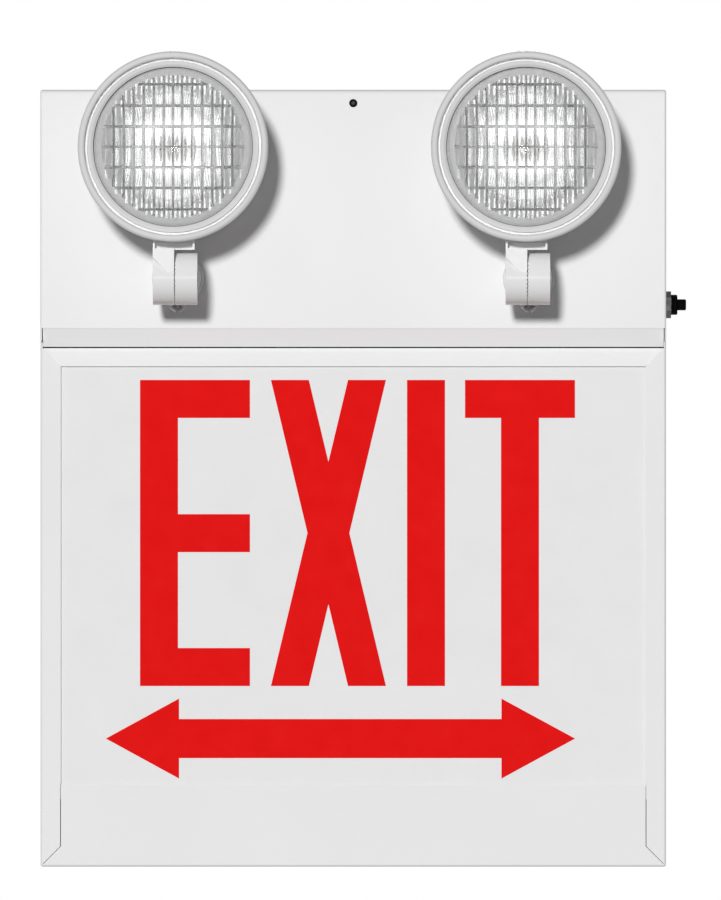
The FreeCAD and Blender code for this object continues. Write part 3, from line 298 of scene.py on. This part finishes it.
mirror = {"haze": 0.008, "bright": grey(0.93), "dull": (0.86, 0.87, 0.88), "rough": (0.05, 0.14),
          "wave": 0.002, "deep": 0.00001, "strength": 0.5}


def vacuumMirror(name):
    # vapour-coated bowl with a little haze
    finish = Finish(name)
    haze = finish.noise(mirror["haze"], 4)
    finish.setOn(metal=1.0)
    finish.mottled(haze, mirror["bright"], mirror["dull"])
    finish.roughened(haze, *mirror["rough"])
    finish.bumped(finish.noise(mirror["wave"], 2), mirror["deep"], mirror["strength"])
    return finish.material


board = {"runs": 90, "gap": 0.09, "soft": 0.4, "mask": (0.012, 0.09, 0.035),
         "copper": (0.03, 0.19, 0.08), "gloss": 0.003, "rough": (0.25, 0.4), "deep": 0.00003,
         "strength": 0.6}


def circuitBoard(name):
    # green solder mask over copper runs, which show as slightly raised lighter lines
    finish = Finish(name)
    runs = finish.add("ShaderNodeTexBrick")
    runs.inputs["Scale"].default_value = board["runs"]
    runs.inputs["Mortar Size"].default_value = board["gap"]
    runs.inputs["Mortar Smooth"].default_value = board["soft"]
    finish.link(finish.coords(turn=(quarterTurn, 0, 0)), runs.inputs["Vector"])
    finish.setOn(ior=1.5, coat=0.3, coatRough=0.1)
    finish.colored(runs.outputs["Fac"], board["mask"], board["copper"])
    finish.roughened(finish.noise(board["gloss"]), *board["rough"])
    finish.bumped(runs.outputs["Fac"], board["deep"], board["strength"])
    return finish.material


tape = {"turns": 60, "uneven": 0.6, "bright": (0.82, 0.56, 0.05), "dull": (0.62, 0.38, 0.03),
        "gloss": 0.004, "rough": (0.25, 0.4), "deep": 0.00005, "strength": 0.6}


def windingTape(name):
    # yellow polyester tape wound round the coil: fine edges across the windings
    finish = Finish(name)
    edges = finish.bands("Z", tape["turns"], tape["uneven"])
    finish.setOn(ior=1.55, coat=0.3, coatRough=0.15)
    finish.colored(edges, tape["bright"], tape["dull"])
    finish.roughened(finish.noise(tape["gloss"]), *tape["rough"])
    finish.bumped(edges, tape["deep"], tape["strength"])
    return finish.material


core = {"sheets": 320, "dark": (0.05, 0.05, 0.055), "light": (0.17, 0.165, 0.16), "gloss": 0.002,
        "rough": (0.35, 0.6), "deep": 0.00004, "strength": 0.7}


def laminatedCore(name):
    # stacked transformer sheets seen on edge
    finish = Finish(name)
    sheets = finish.bands("Y", core["sheets"])
    finish.setOn(metal=0.7)
    finish.colored(sheets, core["dark"], core["light"])
    finish.roughened(finish.noise(core["gloss"]), *core["rough"])
    finish.bumped(sheets, core["deep"], core["strength"])
    return finish.material


ink = {"bright": (0.80, 0.0085, 0.0085), "dull": (0.77, 0.0075, 0.0075), "mottle": 0.012,
       "rough": (0.32, 0.42), "grain": 0.0012, "deep": 0.000008, "strength": 0.5}


def letterInk(name):
    # screened red on the panel: dense, a little satin, with faint roller mottle
    finish = Finish(name)
    mottle = finish.noise(ink["mottle"], 4)
    finish.setOn(ior=1.48, specular=0.05)
    finish.mottled(mottle, ink["bright"], ink["dull"])
    finish.roughened(mottle, *ink["rough"])
    finish.bumped(finish.noise(ink["grain"]), ink["deep"], ink["strength"])
    return finish.material


finishes = {
    "white_steel": powderCoat("whitePowderCoat", (0.86, 0.86, 0.865), (0.84, 0.84, 0.845)),
    "panel_white": moldedPlastic("panelAcrylic", grey(0.85), grey(0.825), (0.38, 0.46), 0.0012),
    "white_plastic": moldedPlastic("headPlastic", grey(0.84), grey(0.82), (0.2, 0.26)),
    "white_screw": moldedPlastic("paintedScrew", grey(0.80), grey(0.74), (0.3, 0.42)),
    "zinc_steel": platedSteel("zincPlate", (0.46, 0.46, 0.47), (0.30, 0.30, 0.31), (0.34, 0.5)),
    "black_plastic": moldedPlastic("blackPlastic", grey(0.002), grey(0.005), (0.35, 0.5),
                                   specular=0.08),
    "lamp_glass": clearGlass("lampGlass"),
    "bulb_glass": moldedPlastic("frostedBulb", (0.90, 0.90, 0.89), (0.84, 0.84, 0.83),
                                (0.2, 0.3)),
    "lamp_mirror": vacuumMirror("lampMirror"),
    "brass": platedSteel("brass", (0.80, 0.60, 0.28), (0.62, 0.43, 0.17)),
    "aluminium": platedSteel("drawnAluminium", (0.80, 0.80, 0.81), (0.66, 0.66, 0.68),
                             (0.25, 0.4), (0.1, 1, 1)),
    "board_white": moldedPlastic("whiteBoard", (0.78, 0.79, 0.76), (0.70, 0.71, 0.68),
                                 (0.3, 0.45)),
    "led_yellow": moldedPlastic("phosphor", (0.80, 0.62, 0.10), (0.70, 0.50, 0.06),
                                (0.3, 0.45)),
    "pilot_clear": moldedPlastic("pilotLens", grey(0.085), grey(0.055), (0.08, 0.14)),
    "battery_grey": moldedPlastic("batteryCase", (0.060, 0.062, 0.066), (0.04, 0.041, 0.045),
                                  (0.4, 0.55), 0.0009, 0.00002),
    "board_green": circuitBoard("solderMask"),
    "white_nylon": moldedPlastic("nylon", (0.78, 0.77, 0.73), (0.70, 0.69, 0.65), (0.4, 0.5)),
    "relay_blue": moldedPlastic("relayCase", (0.02, 0.10, 0.42), (0.015, 0.08, 0.34)),
    "terminal_green": moldedPlastic("terminalBlock", (0.02, 0.30, 0.10), (0.015, 0.24, 0.08)),
    "core_steel": laminatedCore("coreSheets"),
    "winding_yellow": windingTape("windingTape"),
}
# these nodes, by the end of their name, have a finish of their own
nodeFinishes = {
    "front_ring": moldedPlastic("ringPlastic", grey(0.745), grey(0.715), (0.14, 0.2)),
    "sign_frame": powderCoat("framePowderCoat", (0.84, 0.84, 0.845), (0.825, 0.825, 0.83)),
    # the cover's lip is painted whiter up to this height: painted light
    "battery_cover": powderCoat("coverPowderCoat", (0.88, 0.88, 0.885), (0.86, 0.86, 0.865),
                                coverBottom + powder["paintedLightHeight"]),
    "lock_screw": finishes["zinc_steel"],
}
for entry in frame["record"]["subparts"]:
    shape = nodes[entry["node"]].data
    own = [finish for name, finish in nodeFinishes.items() if entry["node"].endswith(name)]
    shape.materials.clear()
    shape.materials.append(own[0] if own else finishes[entry["material_slot"]])
print("finishes on the packed nodes")


# fluted front glass of each lamp

fluted = {
    "corners": 96, "edge": 0.0019,                       # the flat rim and its thickness
    "shoulder": 0.0523, "sag": 0.0065, "steps": 14,      # the crown inside it
    "reach": 0.0470, "sides": 40,                        # how far out flutes go, sides of a cutter
    "lines": (0.0, 0.0059, 0.0125, 0.0191, 0.0257, 0.0323, 0.0389, 0.0455),   # between flutes
    "deep": 0.0006, "land": 0.0017, "rib": 0.0012,       # upright flutes and the ribs between
    "rows": (0.0, 0.0133, 0.0269, 0.0410), "groove": 0.0009, "rowDeep": 0.0006,
    "middleShare": 0.5, "shadeAngle": 20,
}
glassLook = {
    # the ribs' glass is tinted dark grey: painted shade for the dark lines between the flutes
    "ridge": {"rough": 0.25, "tint": grey(0.24)},
    "milk": {"rough": 0.12, "tint": grey(0.93), "clear": 0.75},
    # near-black paint on the glass's flat rim: painted shade for the gap between ring and glass
    "rimShade": (grey(0.09), grey(0.07), (0.5, 0.6)),
}


def bothWays(place):
    return (1,) if place == 0 else (-1, 1)


def cutFlute(piece, radius, length, place, turn, glass):
    # takes one round flute out of the back of the glass, and leaves its own glass on the faces
    deselectAll()
    bpy.ops.mesh.primitive_cylinder_add(vertices=fluted["sides"], radius=radius, depth=length,
                                        location=place, rotation=turn)
    cutter = bpy.context.object
    cutter.data.materials.append(glass)
    bpy.ops.object.transform_apply(location=True, rotation=True, scale=True)
    cut = piece.modifiers.new("flute", "BOOLEAN")
    cut.operation = "DIFFERENCE"
    cut.material_mode = "TRANSFER"
    cut.object = cutter
    cut.solver = "EXACT"
    applyAll(piece)
    pick(cutter)
    bpy.ops.object.delete()


def crownedGlass(middle, rim, back):
    # the flat rim, then the crown in rings that get smaller towards the front
    size = fluted
    deselectAll()
    bpy.ops.mesh.primitive_circle_add(vertices=size["corners"], radius=rim, fill_type="NGON",
                                      location=(middle.x, back, middle.z),
                                      rotation=(quarterTurn, 0, 0))
    glass = bpy.context.object
    bpy.ops.object.transform_apply(location=True, rotation=True, scale=True)
    ball = (size["shoulder"] ** 2 + size["sag"] ** 2) / (2 * size["sag"])
    editAll(glass)
    extrude(out=-size["edge"])
    lastRadius, lastRise = rim, 0.0
    for step in range(size["steps"]):
        radius = size["shoulder"] * math.cos(step / size["steps"] * quarterTurn)
        rise = size["sag"] - ball + math.sqrt(ball ** 2 - radius ** 2) if step else 0.0
        extrude()
        bpy.ops.transform.resize(value=(radius / lastRadius, 1, radius / lastRadius))
        bpy.ops.transform.translate(value=(0, lastRise - rise, 0))
        lastRadius, lastRise = radius, rise
    leaveEdit()
    outwards(glass)
    return glass


def cutUprights(glass, middle, back, smooth, ridge):
    # flutes side by side, each as long as the round face lets it be, then the ribs between
    size = fluted
    for left, right in zip(size["lines"], size["lines"][1:]):
        half = (right - left - size["land"]) / 2
        radius = (half ** 2 + size["deep"] ** 2) / (2 * size["deep"])
        for way in bothWays(left + right):
            across = way * (left + right) / 2
            length = 2 * math.sqrt(size["reach"] ** 2 - across ** 2)
            place = (middle.x + across, back - size["deep"] + radius, middle.z)
            cutFlute(glass, radius, length, place, (0, 0, 0), smooth)
    for line in size["lines"][:-1]:
        length = 2 * math.sqrt(size["reach"] ** 2 - line ** 2)
        for way in bothWays(line):
            place = (middle.x + way * line, back, middle.z)
            cutFlute(glass, size["rib"], length, place, (0, 0, 0), ridge)


def cutRows(glass, middle, back, ridge):
    size = fluted
    for row in size["rows"]:
        length = 2 * math.sqrt(size["reach"] ** 2 - row ** 2)
        deep = size["rowDeep"] * (1 if row else size["middleShare"])
        for way in bothWays(row):
            place = (middle.x, back - size["deep"] + size["groove"] - deep, middle.z + way * row)
            cutFlute(glass, size["groove"], length, place, (0, quarterTurn, 0), ridge)


def flutedGlass():
    size = fluted
    low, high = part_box("left_lamp_lens")
    middle = (low + high) / 2
    glass = crownedGlass(middle, (high.x - low.x) / 2, high.y)
    # the ridge glass carries painted shade: its grey tint draws the dark lines between the flutes
    smooth, ridge = finishes["lamp_glass"], clearGlass("ridgeGlass", **glassLook["ridge"])
    milk = clearGlass("edgeGlass", **glassLook["milk"])
    rimShade = moldedPlastic("paintedGapShade", *glassLook["rimShade"])
    for look in (smooth, ridge, milk, rimShade):
        glass.data.materials.append(look)
    # the plain edge round the flutes is a little milky, and the flat rim is painted near-black:
    # painted shade for the gap between ring and glass
    for number, least in ((2, size["reach"]), (3, size["shoulder"])):
        editFaces(glass, lambda spot, normal: normal.y < -0.5
                  and math.hypot(spot.x - middle.x, spot.z - middle.z) > least)
        glass.active_material_index = number
        bpy.ops.object.material_slot_assign()
        leaveEdit()
    cutUprights(glass, middle, high.y, smooth, ridge)
    cutRows(glass, middle, high.y, ridge)
    return glass


def lampGlasses():
    left = flutedGlass()
    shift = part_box("right_lamp_lens")[0].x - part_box("left_lamp_lens")[0].x
    pick(left)
    bpy.ops.object.duplicate()
    right = bpy.context.object
    bpy.ops.transform.translate(value=(shift, 0, 0))
    for side, glass in (("left", left), ("right", right)):
        settle(glass, side + "FlutedGlass", side + "_head", fluted["shadeAngle"])
        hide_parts(side + "_lamp_lens")


lampGlasses()
print("fluted glasses set in the lamps")


# the legend on the panel: heights from the unit's bottom edge, the rest from its middle

legend = {"low": 0.1199, "high": 0.3231, "stroke": 0.0252, "film": 0.0002, "sunk": 0.00001,
          "soft": 0.00008, "softSteps": 2, "shadeAngle": 15}
legendInk = letterInk("legendRed")
legendY = panelFront - legend["film"] / 2 + legend["sunk"]
legendMiddle = (legend["low"] + legend["high"]) / 2


def legendBar(left, right, low, high):
    # one block of film, on the panel's face
    place = (unitCentre + (left + right) / 2, legendY, unitBottom + (low + high) / 2)
    deselectAll()
    bpy.ops.mesh.primitive_cube_add(size=1, location=place,
                                    scale=(right - left, legend["film"], high - low))
    bar = bpy.context.object
    bpy.ops.object.transform_apply(location=False, rotation=False, scale=True)
    return bar


def uprightBar(left):
    return legendBar(left, left + legend["stroke"], legend["low"], legend["high"])


def splitAtHeights(bar, heights):
    for height in heights:
        splitAt(bar, (0, 0, height - legendMiddle), (0, 0, 1))


def finishLegend(piece, name):
    # the film's edge is a little rounded where the ink thins out
    outwards(piece)
    edge = piece.modifiers.new("thin edge", "BEVEL")
    edge.width = legend["soft"]
    edge.segments = legend["softSteps"]
    edge.limit_method = "ANGLE"
    applyAll(piece)
    piece.visible_glossy = False   # no red cast on the glossy knuckles
    piece.data.materials.append(legendInk)
    settle(piece, name, "housing", legend["shadeAngle"])


letterESize = {"left": -0.1416, "right": -0.0686, "middleArm": 0.2088}


def letterE():
    size, stroke = letterESize, legend["stroke"]
    bar = uprightBar(size["left"])
    arms = [(low, low + stroke) for low in
            (legend["low"], size["middleArm"], legend["high"] - stroke)]
    heights = [height for arm in arms for height in arm]
    splitAtHeights(bar, heights[1:-1])
    editFaces(bar, lambda centre, normal: normal.x > 0.9
              and any(low < centre.z + legendMiddle < high for low, high in arms))
    extrude(size["right"] - size["left"] - stroke)
    leaveEdit()
    finishLegend(bar, "letterE")


letterXSize = {"centre": -0.0165, "half": 0.0382, "waist": 0.0139, "merge": 1e-5}


def letterX():
    # one slanted leg, trimmed at the middle line and mirrored both ways
    size = letterXSize
    left = size["centre"] - size["waist"]
    leg = legendBar(left, left + legend["stroke"], legendMiddle, legend["high"])
    editFaces(leg, lambda centre, normal: normal.z > 0.9)
    bpy.ops.transform.translate(value=(size["waist"] - size["half"], 0, 0))
    leaveEdit()
    scene.cursor.location = (unitCentre + size["centre"], legendY, unitBottom + legendMiddle)
    pick(leg)
    bpy.ops.object.origin_set(type="ORIGIN_CURSOR")
    splitAt(leg, (0, 0, 0), (1, 0, 0), clearOuter=True)
    editFaces(leg, lambda centre, normal: normal.z < -0.9 and centre.z < size["merge"])
    bpy.ops.mesh.delete(type="FACE")
    leaveEdit()
    mirrored = leg.modifiers.new("both ways", "MIRROR")
    mirrored.use_axis = (True, False, True)
    mirrored.merge_threshold = size["merge"]
    applyAll(leg)
    finishLegend(leg, "letterX")


letterISize = {"left": 0.0357}


def letterI():
    bar = uprightBar(letterISize["left"])
    splitAtHeights(bar, (legend["low"] + legend["stroke"], legend["high"] - legend["stroke"]))
    finishLegend(bar, "letterI")


letterTSize = {"stem": 0.0981, "left": 0.0742, "right": 0.1472}


def letterT():
    size = letterTSize
    bar = uprightBar(size["stem"])
    under = legend["high"] - legend["stroke"]
    splitAtHeights(bar, [under])
    for way, reach in ((-1, size["left"] - size["stem"]),
                       (1, size["right"] - size["stem"] - legend["stroke"])):
        editFaces(bar, lambda centre, normal: normal.x * way > 0.9
                  and centre.z + legendMiddle > under)
        extrude(reach)
        leaveEdit()
    finishLegend(bar, "letterT")


arrowSize = {"middle": 0.0850, "left": -0.1642, "right": 0.1472, "shaft": 0.0259,
             "headHigh": 0.0531, "headLeft": -0.1157, "headRight": 0.0984,
             "step": 1e-5, "tip": 0.002}   # the step behind the head, and the tip's share of it


def doubleArrow():
    # a shaft whose end faces grow to the head's base, then shrink to its point
    size = arrowSize
    half = size["shaft"] / 2
    bar = legendBar(size["headLeft"], size["headRight"], size["middle"] - half,
                    size["middle"] + half)
    grow = size["headHigh"] / size["shaft"]
    reach = (size["headRight"] - size["headLeft"]) / 2 - mergeGap
    for way, tip in ((-1, size["left"] - size["headLeft"]),
                     (1, size["right"] - size["headRight"])):
        editFaces(bar, lambda centre, normal: normal.x * way > 0.9 and centre.x * way > reach)
        extrude(way * size["step"])
        bpy.ops.transform.resize(value=(1, 1, grow))
        extrude(tip - way * size["step"])
        bpy.ops.transform.resize(value=(1, 1, size["tip"]))
        leaveEdit()
    finishLegend(bar, "doubleArrow")


letterE()
letterX()
letterI()
letterT()
doubleArrow()
print("legend placed")


# floor, light and camera

floorSize = {"width": 6.0, "drop": 0.75, "drift": 0.4, "grain": 0.1, "pale": grey(0.80),
             "dull": grey(0.77), "rough": (0.6, 0.75)}


def paleFloor():
    size = floorSize
    deselectAll()
    bpy.ops.mesh.primitive_plane_add(size=size["width"],
                                     location=(0, 0, unitBottom - size["drop"]))
    ground = bpy.context.object
    ground.name = "floor"
    ground.visible_transmission = False   # the mirrored bowls see the walls only
    finish = Finish("floorPaint")
    finish.mottled(finish.noise(size["drift"]), size["pale"], size["dull"])
    finish.roughened(finish.noise(size["grain"]), *size["rough"])
    ground.data.materials.append(finish.material)


# toLamp points at the lamp, soft is its width in degrees
suns = {
    "keyLight": {"toLamp": (-0.14, -1.0, 0.225), "strength": 2.66, "soft": 6.5},
    "edgeGlint": {"toLamp": (0.0, -1.0, 0.01), "strength": 0.09, "soft": 2.5, "glint": True},
    "rightWash": {"toLamp": (1.0, 0.75, 0.0), "strength": 1.15, "soft": 10.0},
    "leftWash": {"toLamp": (-1.0, 0.75, 0.0), "strength": 1.15, "soft": 10.0},
}


def sunLamp(name, toLamp, strength, soft, glint=False):
    deselectAll()
    bpy.ops.object.light_add(type="SUN")
    lamp = bpy.context.object
    lamp.name = name
    lamp.data.energy = strength
    lamp.data.angle = math.radians(soft)
    # a glint only shows as the thin shine on rounded edges, the others only light and shade
    lamp.visible_glossy = glint
    lamp.visible_diffuse = not glint
    lamp.visible_transmission = False
    lamp.rotation_euler = Vector(toLamp).to_track_quat("Z", "Y").to_euler()


air = {
    "background": 1.0, "fill": 0.085,                # behind the object, and dimly all round
    "ahead": 1.42, "aside": 2.1, "beyond": 1.40,     # what shines through the glass, by direction
    "turn": (-0.985, -0.95), "high": (0.42, 0.50), "wide": (0.74, 0.86),
}


def studioAir():
    world = bpy.data.worlds.new("studioAir")
    scene.world = world
    world.use_nodes = True
    tree = world.node_tree
    tree.nodes.clear()

    def made(kind, **settings):
        node = tree.nodes.new(kind)
        for key, value in settings.items():
            setattr(node, key, value)
        return node

    def setTo(socket, value):
        # a plain number, or another node's output
        if isinstance(value, float):
            socket.default_value = value
        else:
            tree.links.new(value, socket)

    def backdrop(strength):
        shade = made("ShaderNodeBackground")
        shade.inputs["Color"].default_value = (1, 1, 1, 1)
        setTo(shade.inputs["Strength"], strength)
        return shade.outputs[0]

    def ramp(value, ends, low, high):
        ranged = made("ShaderNodeMapRange", interpolation_type="SMOOTHSTEP")
        for name, number in zip(("From Min", "From Max", "To Min", "To Max"),
                                (*ends, low, high)):
            setTo(ranged.inputs[name], number)
        setTo(ranged.inputs["Value"], value)
        return ranged.outputs["Result"]

    def mixed(share, first, second):
        mix = made("ShaderNodeMixShader")
        for socket, end in zip(mix.inputs, (share, first, second)):
            setTo(socket, end)
        return mix.outputs[0]

    path = made("ShaderNodeLightPath")
    axes = made("ShaderNodeSeparateXYZ")
    setTo(axes.inputs[0], made("ShaderNodeTexCoord").outputs["Generated"])
    room = ramp(axes.outputs["Y"], air["turn"], air["ahead"], air["aside"])
    for axis, ends in (("Z", air["high"]), ("X", air["wide"])):
        slope = made("ShaderNodeMath", operation="ABSOLUTE")
        setTo(slope.inputs[0], axes.outputs[axis])
        room = ramp(slope.outputs[0], ends, room, air["beyond"])
    inner = mixed(path.outputs["Is Transmission Ray"], backdrop(air["fill"]), backdrop(room))
    outer = mixed(path.outputs["Is Camera Ray"], inner, backdrop(air["background"]))
    setTo(made("ShaderNodeOutputWorld").inputs["Surface"], outer)


view = {"lens": 600.0, "sensor": 36.0, "high": 0.5976, "right": 0.0048, "up": 0.2766,
        "farthest": 200}


def farCamera():
    # stands far off, square to the panel
    away = view["high"] * view["lens"] / view["sensor"]
    deselectAll()
    bpy.ops.object.camera_add(rotation=(quarterTurn, 0, 0), location=(
        unitCentre + view["right"], panelFront - away, unitBottom + view["up"]))
    camera = bpy.context.object
    camera.data.lens = view["lens"]
    camera.data.sensor_width = view["sensor"]
    camera.data.sensor_fit = "AUTO"
    camera.data.clip_end = view["farthest"]
    scene.camera = camera


paleFloor()
for sunName, sun in suns.items():
    sunLamp(sunName, **sun)
studioAir()
farCamera()
scene.view_settings.view_transform = "Standard"
scene.view_settings.look = "None"
print("floor, light and camera set")
